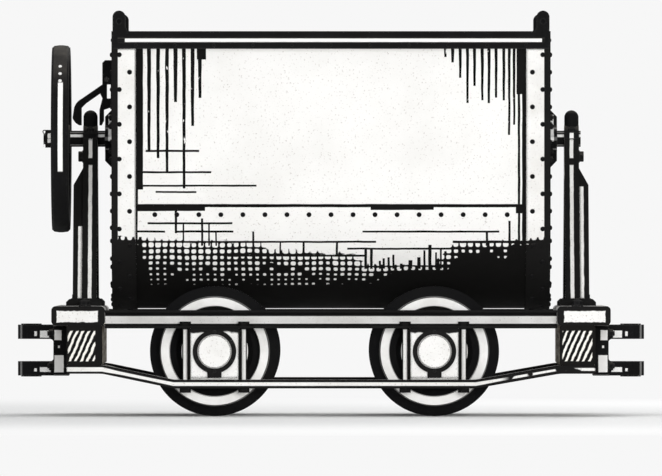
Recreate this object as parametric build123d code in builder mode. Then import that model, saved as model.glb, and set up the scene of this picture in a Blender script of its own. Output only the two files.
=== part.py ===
# Side dump ore cart: a narrow gauge mine car with a riveted U shaped tub.
# The tub hangs between two end stands on trunnions and is tipped by a hand wheel.
# Millimetres. X runs along the track, the hand wheel is at the front (-X).
# Y runs across, the near side is -Y. Z is up and the wheel flanges touch Z = 0.
import os
from math import cos, radians, sin

from build123d import *

os.makedirs("parts", exist_ok=True)

# Fits and gaps
running_gap = 0.05      # radial, shaft in its bearing
press_gap = 0.02        # radial, wheel on its axle seat
bolt_gap = 0.3          # radial, bolt in its hole
side_gap = 2.0          # axle shoulder to the back of its box

# Wheels and axles
tread_r = 200.0
flange_depth = 40.0
flange_thick = 28.0
tread_wide = 70.0
rim_thick = 32.0
tread_cone = 0.05
back_to_back = 684.0
wheelbase = 810.0
gear_forward = 24.0     # the axles' middle ahead of the tub's
web_thick = 18.0
web_set_in = 38.0       # outer web ring behind the rim's outer face
dish_out = 34.0         # how far the middle of the web stands out from its ring
dish_r = 132.0
hub_r = 66.0
hub_overhang = 5.0
axle_r = 32.0
wheel_seat_r = 38.0
journal_r = 27.5
journal_long = 93.0
shoulder_out = 10.0     # from the wheel's outer face to the journal

# Side frames: journal boxes between a channel rail and an arch bar
box_wide = 193.0
box_deep = 96.0
box_above_axle = 85.0
box_below_axle = 104.0
box_corner_r = 12.0
box_bevel = 7.0
cover_r = 80.0
cover_thick = 8.0
cover_foot_wide = 52.0
cover_boss_r = 64.0
cover_boss_out = 10.0
rail_high = 67.0
rail_flange = 68.0
rail_web = 8.0
rail_lip = 9.0
arch_wide = 70.0
arch_thick = 32.0
arch_rise = 54.0
arch_level_past_axle = 152.0
arch_bend_r = 120.0
column_r = 11.0
nut_high = 16.0
nut_across = 36.0

# Ends of the underframe
frame_past_rail = 6.0
sill_set_in = 9.0       # sill's inner face behind the cap beam's
sill_wide = 132.0
sill_high = 146.0
sill_chamfer = 5.0
cap_wide = 197.0
cap_high = 71.0
cap_wall = 10.0
cap_round = 16.0

# Coupling castings
coupler_out = 134.0
coupler_half_wide = 130.0
coupler_drop = 43.0         # below the sill
jaw_half_wide = 78.0
jaw_tip_r = 56.0
jaw_thick = 53.0
jaw_boss_r = 38.0
jaw_boss_out = 4.0
jaw_root = 14.0         # rounding where a jaw meets its plate
coupling_pin_r = 17.0
coupling_pin_inset = 50.0

# Stands
axis_above_cap = 620.0
boss_gap = 27.0         # from the trunnion's boss to the stand
stand_deep = 54.0
rib_deep = 35.0
rib_thick = 16.0
rib_below_axis = 109.0
rib_shoulder = 63.0
foot_inside_stand = 22.0
foot_past_rib = 24.0
foot_past_leg = 12.0
foot_on_cap = 12.0      # from the foot's inner edge to the cap beam's
foot_thick = 25.0
foot_bevel = 11.0
leg_spread = 292.0
leg_wide = 61.0
leg_web = 18.0
leg_flange = 15.0
head_half_wide = 75.0
head_deep = 92.0
window_below_axis = 137.0
trunnion_r = 30.0
bearing_wall = 20.0
cap_ear_high = 22.0
cup_wall_in = 0.5       # oil dome set in from the cap's faces
cup_top = 106.0         # above the trunnion axis

# Tub
tub_half_long = 810.0
tub_half_wide = 440.0
tub_corner_r = 368.0
tub_below_axis = 630.0
tub_high = 1024.0
trough_thick = 8.0
plate_thick = 6.0
end_thick = 7.0
seam_above_floor = 380.0
seam_lap = 75.0
angle_thick = 8.0
corner_bar_wide = 90.0
corner_end_wide = 75.0
rim_high = 65.0
rim_thick_out = 16.0
bead_r = 8.0
bead_end = 23.0         # from the bead's end to the tub's
boss_base_r = 110.0
boss_face_r = 82.0
boss_out = 30.0
boss_flange = 11.0
boss_hub_r = 50.0
boss_rib_thick = 14.0
boss_rib_root = 10.0    # how deep a rib is rooted in the hub
boss_ribs = 4
lug_wide = 48.0
lug_set_in = 4.0
lug_above_rim = 76.0
lug_foot = 8.0          # how far the lug's foot flares each side
lug_hole_r = 9.0
lug_hole_drop = 40.0

# Hand wheel and latch
hand_wheel_r = 348.0
hand_rim_wide = 66.0
hand_rim_thick = 36.0
hand_rim_round = 17.0
hand_rim_bevel = 9.0
hand_gap = 14.0         # from the stand's rib to the hand wheel
hand_hub_r = 52.0
hand_seat_r = 26.0
thread_r = 20.0
shaft_end_out = 7.0
spoke_count = 6
spoke_half_wide = 13.0
spoke_half_thick = 17.0
spoke_bevel = 6.0
hand_nut_across = 66.0
hand_nut_thick = 26.0
latch_head_out = 48.0       # the bracket's head, from the tub's end plate
latch_head_bevel = 10.0
latch_head_low = 202.0      # above the trunnion axis, as the heights below
latch_head_high = 292.0
latch_stop_low = 116.0
latch_stop_high = 150.0
latch_wall = 17.0
latch_bracket_half = 38.0
latch_half_wide = 16.0
latch_thick = 17.0
latch_gap = 6.0             # from each prong to the stand
latch_crotch = 168.0
latch_bend = 132.0          # where the outer prong turns down
latch_belly = 78.0          # where it is widest
latch_tip = 50.0

# Levels and stations worked out from the sizes above
axle_z = tread_r + flange_depth
flange_back = back_to_back / 2
rim_face = flange_back + flange_thick + tread_wide
axle_shoulder = rim_face + shoulder_out
box_back = axle_shoulder + side_gap
box_mid_y = box_back + box_deep / 2
box_front = box_back + box_deep
box_top = axle_z + box_above_axle
box_bottom = axle_z - box_below_axle
rail_z = box_top + rail_high / 2
arch_z = box_bottom - arch_thick / 2
sill_bottom = arch_z + arch_rise + arch_thick / 2
sill_top = sill_bottom + sill_high
cap_top = sill_top + cap_high
axis_z = cap_top + axis_above_cap
tub_floor = axis_z - tub_below_axis
tub_top = tub_floor + tub_high
seam_z = tub_floor + seam_above_floor
tub_flat = tub_half_wide - tub_corner_r
end_outer_x = tub_half_long - angle_thick
end_inner_x = end_outer_x - end_thick
rim_bottom = tub_top - rim_high
boss_face_x = tub_half_long + boss_out
stand_inner_x = boss_face_x + boss_gap
stand_outer_x = stand_inner_x + stand_deep
stand_mid_x = stand_inner_x + stand_deep / 2
rib_outer_x = stand_outer_x + rib_deep
foot_inner_x = stand_inner_x - foot_inside_stand
foot_outer_x = rib_outer_x + foot_past_rib
foot_top = cap_top + foot_thick
cap_inner_x = foot_inner_x - foot_on_cap
cap_outer_x = cap_inner_x + cap_wide
sill_inner_x = cap_inner_x + sill_set_in
sill_outer_x = sill_inner_x + sill_wide
frame_half_wide = box_mid_y + rail_flange / 2 + frame_past_rail
gear_x = -gear_forward
front_axle_x = gear_x - wheelbase / 2
rear_axle_x = gear_x + wheelbase / 2
arch_level_half = wheelbase / 2 + arch_level_past_axle
hand_inner_x = rib_outer_x + hand_gap
hand_wheel_x = hand_inner_x + hand_rim_wide / 2
hand_outer_x = hand_inner_x + hand_rim_wide


def keep(piece, name):
    """Name a finished piece and write it out."""
    piece.part.label = name
    export_step(piece.part, "parts/" + name + ".step")


def twin(piece, plane):
    """The same piece on the other side of a plane."""
    with BuildPart() as other:
        mirror(piece.part, about=plane)
    return other


def keep_pair(piece, plane, name, twin_name):
    """Write a piece and its mirror image."""
    keep(piece, name)
    other = twin(piece, plane)
    keep(other, twin_name)
    return other


# Wheels: a flanged tread, a dished web and a hub, turned about the axle
def wheel(x):
    """The near wheel of the axle at x."""
    hub_back = -(flange_back - hub_overhang)
    hub_face = -(rim_face + hub_overhang)
    ring_face = -(rim_face - web_set_in)
    ring_back = ring_face + web_thick
    dish_face = ring_face - dish_out
    dish_back = ring_back - dish_out
    bore = wheel_seat_r + press_gap
    rim_in = tread_r - rim_thick
    flange_r = tread_r + flange_depth
    root = -(flange_back + flange_thick)
    # columns: place along the axle, radius
    outline = (
        (hub_back, bore),
        (hub_back, hub_r),
        (dish_back, hub_r),
        (dish_back, dish_r - web_thick / 2),
        (ring_back, dish_r + web_thick / 2),
        (ring_back, rim_in),
        (-flange_back, rim_in),
        (-flange_back, flange_r),
        (root + flange_thick / 2, flange_r),
        (root, tread_r + tread_cone * tread_wide / 2),
        (-rim_face, tread_r - tread_cone * tread_wide / 2),
        (-rim_face, rim_in),
        (ring_face, rim_in),
        (ring_face, dish_r + web_thick / 2),
        (dish_face, dish_r - web_thick / 2),
        (dish_face, hub_r),
        (hub_face, hub_r),
        (hub_face, bore),
    )
    with BuildPart() as piece:
        with BuildSketch(Plane.YZ.offset(x)) as section:
            with BuildLine():
                Polyline([(y, axle_z + r) for y, r in outline], close=True)
            make_face()
            flange_tip = section.vertices().filter_by(lambda v: v.Z > axle_z + flange_r - 1)
            fillet(flange_tip, radius=flange_thick / 5)
        revolve(axis=Axis((x, 0, axle_z), (0, 1, 0)))
    return piece


# Axle: the middle, two wheel seats and two journals
def axle(x):
    """One axle with the seats for its wheels and boxes."""
    seat_start = flange_back - 2 * hub_overhang
    with BuildPart() as piece:
        with BuildSketch(Plane.YZ.offset(x)):
            with BuildLine():
                Polyline(
                    (0, axle_z),
                    (0, axle_z + axle_r),
                    (seat_start, axle_z + axle_r),
                    (seat_start, axle_z + wheel_seat_r),
                    (axle_shoulder, axle_z + wheel_seat_r),
                    (axle_shoulder, axle_z + journal_r),
                    (axle_shoulder + journal_long, axle_z + journal_r),
                    (axle_shoulder + journal_long, axle_z),
                    close=True,
                )
            make_face()
        revolve(axis=Axis((x, 0, axle_z), (0, 1, 0)))
        mirror(about=Plane.XZ)
    return piece


for end, x in (("front", front_axle_x), ("rear", rear_axle_x)):
    keep(axle(x), "axle_" + end)
    keep_pair(wheel(x), Plane.XZ, "wheel_" + end + "_near", "wheel_" + end + "_far")


# Journal boxes, each bored for its journal and closed by a round cover
def journal_box(x):
    """The near box of the axle at x."""
    with BuildPart() as piece:
        with BuildSketch(Plane.XZ.offset(box_back)) as face:
            with Locations((x, (box_top + box_bottom) / 2)):
                Rectangle(box_wide, box_top - box_bottom)
            fillet(face.vertices(), radius=box_corner_r)
        extrude(amount=box_deep)
        chamfer(piece.faces().sort_by(Axis.Y)[0].edges(), length=box_bevel)
        with BuildSketch(Plane.XZ.offset(box_back)):
            with Locations((x, axle_z)):
                Circle(journal_r + running_gap)
        extrude(amount=box_deep, mode=Mode.SUBTRACT)
    return piece


for end, x in (("front", front_axle_x), ("rear", rear_axle_x)):
    keep_pair(journal_box(x), Plane.XZ, "journal_box_" + end + "_near", "journal_box_" + end + "_far")

cover_foot_z = box_bottom + box_bevel
with BuildPart() as box_covers:
    for x in (front_axle_x, rear_axle_x):
        with BuildSketch(Plane.XZ.offset(box_front)):
            with Locations((x, axle_z)):
                Circle(cover_r)
            with Locations((x, (axle_z + cover_foot_z) / 2)):
                Rectangle(cover_foot_wide, axle_z - cover_foot_z)
        extrude(amount=cover_thick)
        with BuildSketch(Plane.XZ.offset(box_front + cover_thick)):
            with Locations((x, axle_z)):
                Circle(cover_boss_r)
        extrude(amount=cover_boss_out, taper=20)
keep_pair(box_covers, Plane.XZ, "box_covers_near", "box_covers_far")

# Column bolts stand each side of every box and tie the arch bar to the rail
column_out = box_wide / 2 + column_r + bolt_gap
column_places = [
    (x + out, -box_mid_y)
    for x in (front_axle_x, rear_axle_x)
    for out in (-column_out, column_out)
]

with BuildPart() as side_rail:
    with BuildSketch(Plane.YZ.offset(-cap_inner_x)) as section:
        with Locations((-box_mid_y, rail_z)):
            Rectangle(rail_flange, rail_high)
        with Locations((-box_mid_y - rail_web, rail_z)):
            Rectangle(rail_flange, rail_high - 2 * rail_lip, mode=Mode.SUBTRACT)
    extrude(amount=2 * cap_inner_x)
    with BuildSketch(Plane.XY.offset(box_top)):
        with Locations(*column_places):
            Circle(column_r + bolt_gap)
    extrude(amount=rail_lip, mode=Mode.SUBTRACT)
keep_pair(side_rail, Plane.XZ, "side_rail_near", "side_rail_far")

with BuildPart() as arch_bar:
    with BuildSketch(Plane.XZ.offset(box_mid_y - arch_wide / 2)):
        with BuildLine():
            FilletPolyline(
                (-sill_outer_x, arch_z + arch_rise - arch_thick / 2),
                (-sill_inner_x, arch_z + arch_rise - arch_thick / 2),
                (gear_x - arch_level_half, arch_z - arch_thick / 2),
                (gear_x + arch_level_half, arch_z - arch_thick / 2),
                (sill_inner_x, arch_z + arch_rise - arch_thick / 2),
                (sill_outer_x, arch_z + arch_rise - arch_thick / 2),
                radius=arch_bend_r,
            )
            offset(amount=arch_thick, side=Side.LEFT)
        make_face()
    extrude(amount=arch_wide)
    with BuildSketch(Plane.XY.offset(arch_z - arch_thick / 2)):
        with Locations(*column_places):
            Circle(column_r + bolt_gap)
    extrude(amount=arch_thick, mode=Mode.SUBTRACT)
keep_pair(arch_bar, Plane.XZ, "arch_bar_near", "arch_bar_far")

arch_bottom = arch_z - arch_thick / 2
with BuildPart() as column_bolts:
    with BuildSketch(Plane.XY.offset(arch_bottom)):
        with Locations(*column_places):
            Circle(column_r)
    extrude(amount=box_top + rail_lip - arch_bottom)
    for nut_bottom in (arch_bottom - nut_high, box_top + rail_lip):
        with BuildSketch(Plane.XY.offset(nut_bottom)):
            with Locations(*column_places):
                RegularPolygon(nut_across / 2, 6, major_radius=False)
        extrude(amount=nut_high)
keep_pair(column_bolts, Plane.XZ, "column_bolts_near", "column_bolts_far")

# End sills of timber, and the channel laid over each with closed ends
with BuildPart() as end_sill:
    with BuildSketch(Plane.XZ.offset(-frame_half_wide)) as section:
        with Locations(((sill_inner_x + sill_outer_x) / 2, (sill_bottom + sill_top) / 2)):
            Rectangle(sill_wide, sill_high)
        chamfer(section.vertices(), length=sill_chamfer)
    extrude(amount=2 * frame_half_wide)
keep_pair(end_sill, Plane.YZ, "end_sill_rear", "end_sill_front")

cap_mid_x = (cap_inner_x + cap_outer_x) / 2
with BuildPart() as cap_beam:
    with BuildSketch(Plane.XZ.offset(-frame_half_wide)) as section:
        with Locations((cap_mid_x, (sill_top + cap_top) / 2)):
            Rectangle(cap_wide, cap_high)
        fillet(section.vertices().group_by(Axis.Z)[-1], radius=cap_round)
    extrude(amount=2 * frame_half_wide)
    with BuildSketch(Plane.XZ.offset(-frame_half_wide + cap_wall)):
        with Locations((cap_mid_x, (sill_top + cap_top - cap_wall) / 2)):
            Rectangle(cap_wide - 2 * cap_wall, cap_high - cap_wall)
    extrude(amount=2 * (frame_half_wide - cap_wall), mode=Mode.SUBTRACT)
keep_pair(cap_beam, Plane.YZ, "cap_beam_rear", "cap_beam_front")

# Coupling castings: a back plate and two jaws with a hole for the pin
jaw_tip_x = cap_outer_x + coupler_out
coupler_bottom = sill_bottom - coupler_drop
pin_x = jaw_tip_x - coupling_pin_inset
with BuildPart() as coupler:
    with BuildSketch(Plane.YZ.offset(sill_outer_x)) as back:
        with Locations((0, (coupler_bottom + sill_top) / 2)):
            Rectangle(2 * coupler_half_wide, sill_top - coupler_bottom)
        fillet(back.vertices().group_by(Axis.Z)[0], radius=jaw_root)
    extrude(amount=cap_outer_x - sill_outer_x)
    for jaw_bottom, outer_face in ((coupler_bottom, -1), (sill_top - jaw_thick, 1)):
        with BuildSketch(Plane.XY.offset(jaw_bottom)):
            with BuildLine():
                Polyline(
                    (jaw_tip_x - jaw_tip_r, jaw_tip_r),
                    (cap_outer_x, jaw_half_wide),
                    (cap_outer_x, -jaw_half_wide),
                    (jaw_tip_x - jaw_tip_r, -jaw_tip_r),
                )
                RadiusArc((jaw_tip_x - jaw_tip_r, -jaw_tip_r), (jaw_tip_x - jaw_tip_r, jaw_tip_r), -jaw_tip_r)
            make_face()
        extrude(amount=jaw_thick)
        boss_start = jaw_bottom + (jaw_thick if outer_face > 0 else 0)
        with BuildSketch(Plane.XY.offset(boss_start)):
            with Locations((pin_x, 0)):
                Circle(jaw_boss_r)
        extrude(amount=outer_face * jaw_boss_out)
    roots = coupler.edges().filter_by(Axis.Y).filter_by(
        lambda e: abs(e.center().X - cap_outer_x) < 1 and abs(e.length - 2 * jaw_half_wide) < 1
    )
    fillet(roots.filter_by(lambda e: coupler_bottom + 1 < e.center().Z < sill_top - 1), radius=jaw_root)
    with BuildSketch(Plane.XY.offset(coupler_bottom - jaw_boss_out)):
        with Locations((pin_x, 0)):
            Circle(coupling_pin_r)
    extrude(amount=sill_top - coupler_bottom + 2 * jaw_boss_out, mode=Mode.SUBTRACT)
keep_pair(coupler, Plane.YZ, "coupler_rear", "coupler_front")

# Stands: a foot, two spread legs with an outer rib, and the lower half of the bearing
head_bottom = axis_z - head_deep
leg_slope = (leg_spread - head_half_wide) / (head_bottom - foot_top)
window_top = axis_z - window_below_axis
window_foot = leg_spread - leg_wide
window_head = window_foot - leg_slope * (window_top - foot_top)
rib_top = axis_z - rib_below_axis
pocket_bottom = foot_top + leg_flange
pocket_top = window_top - leg_flange
pocket_half = leg_wide / 2 - leg_flange
foot_half_wide = leg_spread + foot_past_leg


def leg_middle(z):
    """Distance from the middle plane to a leg's centre line at height z."""
    return leg_spread - leg_wide / 2 - leg_slope * (z - foot_top)


with BuildPart() as stand:
    with BuildSketch(Plane.YZ.offset(stand_inner_x)):
        with BuildLine():
            Polyline(
                (-leg_spread, foot_top),
                (-head_half_wide, head_bottom),
                (-head_half_wide, axis_z),
                (head_half_wide, axis_z),
                (head_half_wide, head_bottom),
                (leg_spread, foot_top),
                close=True,
            )
        make_face()
        with BuildLine():
            Polyline(
                (-window_foot, foot_top),
                (-window_head, window_top),
                (window_head, window_top),
                (window_foot, foot_top),
                close=True,
            )
        make_face(mode=Mode.SUBTRACT)
        with Locations((0, axis_z)):
            Circle(trunnion_r + running_gap, mode=Mode.SUBTRACT)
    extrude(amount=stand_deep)
    with BuildSketch(Plane.YZ.offset(stand_inner_x)):
        for side in (-1, 1):
            with BuildLine():
                Polyline(
                    (side * leg_middle(pocket_bottom) - pocket_half, pocket_bottom),
                    (side * leg_middle(pocket_bottom) + pocket_half, pocket_bottom),
                    (side * leg_middle(pocket_top) + pocket_half, pocket_top),
                    (side * leg_middle(pocket_top) - pocket_half, pocket_top),
                    close=True,
                )
            make_face()
    extrude(amount=stand_deep - leg_web, mode=Mode.SUBTRACT)
    with BuildSketch(Plane.YZ.offset(stand_outer_x)):
        for side in (-1, 1):
            with BuildLine():
                Polyline(
                    (side * leg_middle(foot_top) - rib_thick / 2, foot_top),
                    (side * leg_middle(foot_top) + rib_thick / 2, foot_top),
                    (side * leg_middle(rib_top) + rib_thick / 2, rib_top),
                    (side * leg_middle(rib_top) - rib_thick / 2, rib_top),
                    close=True,
                )
            make_face()
    extrude(amount=rib_deep)
    with BuildSketch(Plane.XZ.offset(-leg_spread)):
        with BuildLine():
            Polyline(
                (stand_outer_x, rib_top),
                (stand_outer_x + rib_deep, rib_top),
                (stand_outer_x + rib_deep, rib_top - rib_shoulder),
                close=True,
            )
        make_face()
    extrude(amount=2 * leg_spread, mode=Mode.SUBTRACT)
    with BuildSketch(Plane.XY.offset(cap_top)):
        with Locations(((foot_inner_x + foot_outer_x) / 2, 0)):
            Rectangle(foot_outer_x - foot_inner_x, 2 * foot_half_wide)
    extrude(amount=foot_thick - foot_bevel)
    with BuildSketch(Plane.XY.offset(foot_top - foot_bevel)):
        with Locations(((foot_inner_x + foot_outer_x) / 2, 0)):
            Rectangle(foot_outer_x - foot_inner_x, 2 * foot_half_wide)
    extrude(amount=foot_bevel, taper=45)
keep_pair(stand, Plane.YZ, "stand_rear", "stand_front")

arch_r = trunnion_r + bearing_wall
dome_r = stand_deep / 2 - cup_wall_in
dome_foot_z = axis_z + cup_top - dome_r
with BuildPart() as bearing_cap:
    with BuildSketch(Plane.YZ.offset(stand_inner_x)):
        with Locations((0, axis_z)):
            Circle(arch_r)
        with Locations((0, axis_z + cap_ear_high / 2)):
            Rectangle(2 * head_half_wide, cap_ear_high)
        with Locations((0, axis_z)):
            Circle(trunnion_r + running_gap, mode=Mode.SUBTRACT)
        with Locations((0, axis_z - arch_r / 2)):
            Rectangle(2 * head_half_wide, arch_r, mode=Mode.SUBTRACT)
    extrude(amount=stand_deep)
    with BuildSketch(Plane.XZ):
        with BuildLine():
            Polyline(
                (stand_mid_x, axis_z + cup_top),
                (stand_mid_x, axis_z + trunnion_r + bearing_wall / 2),
                (stand_mid_x + dome_r, axis_z + trunnion_r + bearing_wall / 2),
                (stand_mid_x + dome_r, dome_foot_z),
            )
            RadiusArc((stand_mid_x + dome_r, dome_foot_z), (stand_mid_x, axis_z + cup_top), -dome_r)
        make_face()
    revolve(axis=Axis((stand_mid_x, 0, 0), (0, 0, 1)))
keep_pair(bearing_cap, Plane.YZ, "bearing_cap_rear", "bearing_cap_front")


# Tub: plates set in from the outer face of the trough
def tub_face(inset, top):
    """The U shaped section of the tub, set in from the trough's outer face."""
    half = tub_half_wide - inset
    turn = tub_corner_r - inset
    floor = tub_floor + inset
    above_rim = tub_top + rim_high
    with BuildSketch() as face:
        with BuildLine():
            Line((-tub_flat, floor), (tub_flat, floor))
            CenterArc((tub_flat, floor + turn), turn, -90, 90)
            Polyline((half, floor + turn), (half, above_rim), (-half, above_rim), (-half, floor + turn))
            CenterArc((-tub_flat, floor + turn), turn, 180, 90)
        make_face()
        with Locations((0, top + tub_high)):
            Rectangle(4 * half, 2 * tub_high, mode=Mode.SUBTRACT)
    return face.sketch


with BuildPart() as tub_trough:
    with BuildSketch(Plane.YZ.offset(-end_inner_x)):
        add(tub_face(0, seam_z))
        add(tub_face(trough_thick, seam_z), mode=Mode.SUBTRACT)
    extrude(amount=2 * end_inner_x)
keep(tub_trough, "tub_trough")

lap_bottom = seam_z - seam_lap
with BuildPart() as tub_side:
    with BuildSketch(Plane.YZ.offset(-end_inner_x)):
        add(tub_face(trough_thick, tub_top))
        add(tub_face(trough_thick + plate_thick, tub_top), mode=Mode.SUBTRACT)
        with Locations((0, (tub_floor + lap_bottom) / 2)):
            Rectangle(2 * tub_half_wide, lap_bottom - tub_floor, mode=Mode.SUBTRACT)
        with Locations((tub_half_wide / 2, (tub_floor + tub_top) / 2)):
            Rectangle(tub_half_wide, tub_high, mode=Mode.SUBTRACT)
    extrude(amount=2 * end_inner_x)
keep_pair(tub_side, Plane.XZ, "tub_side_near", "tub_side_far")

with BuildPart() as tub_end:
    with BuildSketch(Plane.YZ.offset(end_inner_x)):
        add(tub_face(0, seam_z))
        add(tub_face(trough_thick, tub_top))
    extrude(amount=end_thick)
keep_pair(tub_end, Plane.YZ, "tub_end_rear", "tub_end_front")

with BuildPart() as corner_angle:
    with BuildSketch(Plane.YZ.offset(tub_half_long - corner_bar_wide)):
        add(tub_face(-angle_thick, rim_bottom))
        add(tub_face(0, seam_z), mode=Mode.SUBTRACT)
        add(tub_face(trough_thick, rim_bottom), mode=Mode.SUBTRACT)
    extrude(amount=corner_bar_wide - angle_thick)
    with BuildSketch(Plane.YZ.offset(end_outer_x)):
        add(tub_face(-angle_thick, rim_bottom))
        add(tub_face(corner_end_wide - angle_thick, rim_bottom), mode=Mode.SUBTRACT)
    extrude(amount=angle_thick)
keep_pair(corner_angle, Plane.YZ, "corner_angle_rear", "corner_angle_front")

# Rim: a flat bar round the top edge with a half round bead along its middle.
# The side bars carry a forged lifting lug at each end.
rim_z = tub_top - rim_high / 2
side_face_y = tub_half_wide - trough_thick
lug_mid_x = tub_half_long - lug_set_in - lug_wide / 2
lug_top = tub_top + lug_above_rim
with BuildPart() as rim_side:
    with BuildSketch(Plane.XZ.offset(side_face_y)):
        with Locations((0, rim_z)):
            Rectangle(2 * tub_half_long, rim_high)
        for side in (-1, 1):
            outer = side * (lug_mid_x + lug_wide / 2)
            inner = side * (lug_mid_x - lug_wide / 2)
            with BuildLine():
                Polyline(
                    (outer, lug_top - lug_wide / 2),
                    (outer, tub_top),
                    (inner - side * lug_foot, tub_top),
                    (inner, tub_top + 2 * lug_foot),
                    (inner, lug_top - lug_wide / 2),
                )
                ThreePointArc(
                    (inner, lug_top - lug_wide / 2),
                    (side * lug_mid_x, lug_top),
                    (outer, lug_top - lug_wide / 2),
                )
            make_face()
            with Locations((side * lug_mid_x, lug_top - lug_hole_drop)):
                Circle(lug_hole_r, mode=Mode.SUBTRACT)
    extrude(amount=rim_thick_out)
    with BuildSketch(Plane.YZ.offset(-tub_half_long + bead_end)):
        with Locations((-side_face_y - rim_thick_out, rim_z)):
            Circle(bead_r)
    extrude(amount=2 * (tub_half_long - bead_end))
keep_pair(rim_side, Plane.XZ, "rim_bar_near", "rim_bar_far")

with BuildPart() as rim_end:
    with BuildSketch(Plane.YZ.offset(end_outer_x)):
        with Locations((0, rim_z)):
            Rectangle(2 * side_face_y, rim_high)
    extrude(amount=angle_thick)
keep_pair(rim_end, Plane.YZ, "rim_bar_rear", "rim_bar_front")


# Trunnions: a flange on the tub's end, a ribbed hub and the shaft that turns in the stand
def trunnion(steps):
    """The rear trunnion. Each step of its shaft is a radius and the x where it ends."""
    flange_x = end_outer_x + boss_flange
    root_x = end_outer_x + boss_flange / 2
    root_r = boss_hub_r - boss_rib_root
    outline = [
        (end_outer_x, 0),
        (end_outer_x, boss_base_r),
        (flange_x, boss_base_r),
        (flange_x, boss_hub_r),
        (boss_face_x, boss_hub_r),
    ]
    start = boss_face_x
    for radius, stop in steps:
        outline += [(start, radius), (stop, radius)]
        start = stop
    outline.append((start, 0))
    with BuildPart() as piece:
        with BuildSketch(Plane.XZ):
            with BuildLine():
                Polyline([(x, axis_z + r) for x, r in outline], close=True)
            make_face()
        revolve(axis=Axis((0, 0, axis_z), (1, 0, 0)))
        for step in range(boss_ribs):
            turn = radians(step * 360 / boss_ribs)
            rib = Plane((0, 0, axis_z), x_dir=(1, 0, 0), z_dir=(0, cos(turn), sin(turn)))
            with BuildSketch(rib.offset(-boss_rib_thick / 2)):
                with BuildLine():
                    Polyline(
                        (root_x, root_r),
                        (root_x, boss_base_r),
                        (flange_x, boss_base_r),
                        (boss_face_x, boss_face_r),
                        (boss_face_x, root_r),
                        close=True,
                    )
                make_face()
            extrude(amount=boss_rib_thick)
    return piece


keep(trunnion([(trunnion_r, stand_outer_x + shaft_end_out)]), "trunnion_rear")
front_steps = [
    (trunnion_r, hand_inner_x),
    (hand_seat_r, hand_outer_x),
    (thread_r, hand_outer_x + hand_nut_thick + shaft_end_out),
]
keep(twin(trunnion(front_steps), Plane.YZ), "trunnion_front")

# Hand wheel on the front trunnion: a rim on a cast spider, held by a nut
rim_inner_r = hand_wheel_r - hand_rim_thick
with BuildPart() as hand_wheel_rim:
    with BuildSketch(Plane.XZ) as section:
        with Locations((-hand_wheel_x, axis_z + hand_wheel_r - hand_rim_thick / 2)):
            Rectangle(hand_rim_wide, hand_rim_thick)
        fillet(section.vertices().group_by(Axis.Z)[-1], radius=hand_rim_round)
        chamfer(section.vertices().group_by(Axis.Z)[0], length=hand_rim_bevel)
    revolve(axis=Axis((0, 0, axis_z), (1, 0, 0)))
keep(hand_wheel_rim, "hand_wheel_rim")

with BuildPart() as hand_wheel_spider:
    with BuildSketch(Plane.YZ.offset(-hand_outer_x)):
        with Locations((0, axis_z)):
            Circle(hand_hub_r)
    extrude(amount=hand_rim_wide)
    for step in range(spoke_count):
        turn = radians(step * 360 / spoke_count)
        arm = Plane((-hand_wheel_x, 0, axis_z), x_dir=(1, 0, 0), z_dir=(0, sin(turn), cos(turn)))
        with BuildSketch(arm) as arm_section:
            Rectangle(2 * spoke_half_thick, 2 * spoke_half_wide)
            chamfer(arm_section.vertices(), length=spoke_bevel)
        extrude(amount=hand_wheel_r)
    with BuildSketch(Plane.YZ.offset(-hand_outer_x)):
        with Locations((0, axis_z)):
            Circle(rim_inner_r - bolt_gap)
    extrude(amount=hand_rim_wide, mode=Mode.INTERSECT)
    with BuildSketch(Plane.YZ.offset(-hand_outer_x)):
        with Locations((0, axis_z)):
            Circle(hand_seat_r + press_gap)
    extrude(amount=hand_rim_wide, mode=Mode.SUBTRACT)
keep(hand_wheel_spider, "hand_wheel_spider")

with BuildPart() as hand_wheel_nut:
    with BuildSketch(Plane.YZ.offset(-hand_outer_x)):
        with Locations((0, axis_z)):
            RegularPolygon(hand_nut_across / 2, 6, major_radius=False)
            Circle(thread_r + press_gap, mode=Mode.SUBTRACT)
    extrude(amount=-hand_nut_thick)
keep(hand_wheel_nut, "hand_wheel_nut")

# Latch: a bracket on the front end and a forged hook that straddles the bearing's dome
latch_head_z = axis_z + latch_head_low
latch_head_x = end_outer_x + latch_head_out
wall_x = end_outer_x + latch_wall
shank_x = latch_head_x - latch_thick
stop_low_z = axis_z + latch_stop_low
stop_high_z = axis_z + latch_stop_high
inner_prong_x = stand_inner_x - latch_gap
outer_prong_x = stand_outer_x + latch_gap
with BuildPart() as latch_bracket:
    with BuildSketch(Plane.XZ.offset(-latch_bracket_half)):
        with BuildLine():
            Polyline(
                (-end_outer_x, stop_low_z),
                (-wall_x, stop_low_z),
                (-wall_x, latch_head_z),
                (-latch_head_x, latch_head_z),
                (-latch_head_x, axis_z + latch_head_high - latch_head_bevel),
                (-latch_head_x + latch_head_bevel, axis_z + latch_head_high),
                (-end_outer_x, axis_z + latch_head_high),
                close=True,
            )
        make_face()
    extrude(amount=2 * latch_bracket_half)
keep(latch_bracket, "latch_bracket")

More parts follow.
